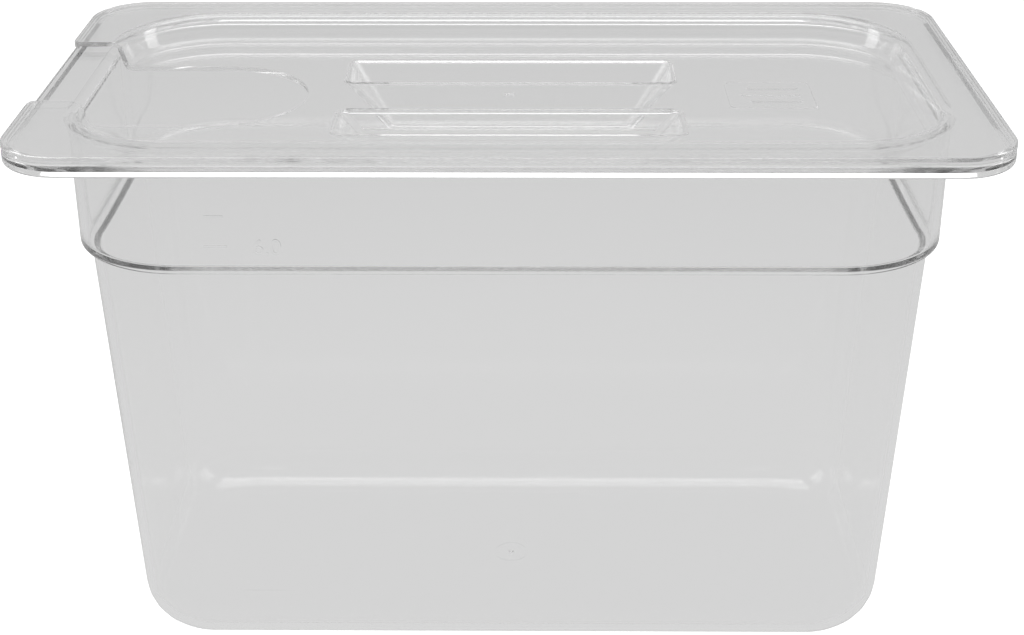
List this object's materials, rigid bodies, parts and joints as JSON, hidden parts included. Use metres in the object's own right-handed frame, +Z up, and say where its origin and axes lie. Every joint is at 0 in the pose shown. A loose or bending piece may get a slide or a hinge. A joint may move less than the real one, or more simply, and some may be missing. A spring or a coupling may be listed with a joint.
{
  "type": "deli food pan",
  "caption": "Deep rectangular clear food storage pan with a broad rim, a stacking shoulder and a notched lift-off lid with a recessed grab handle.",
  "frame": {"origin": "centre of the pan's flat underside", "axes": "+X along the length, away from the lid's serving notch; +Y across the width; +Z up, out of the pan"},
  "size_m": [0.325, 0.176, 0.2028],
  "materials": {
    "pan_polycarbonate": "clear moulded polycarbonate, glossy",
    "lid_polycarbonate": "clear moulded polycarbonate, glossy"
  },
  "bodies": {
    "pan": {"food_pan": "pan_polycarbonate"},
    "lid": {"lid": "lid_polycarbonate"}
  },
  "joints": [
    {"name": "lid_lift", "type": "slide", "parent": "pan", "child": "lid", "axis": [0, 0, 1], "range_m": [0, 0.08]}
  ]
}
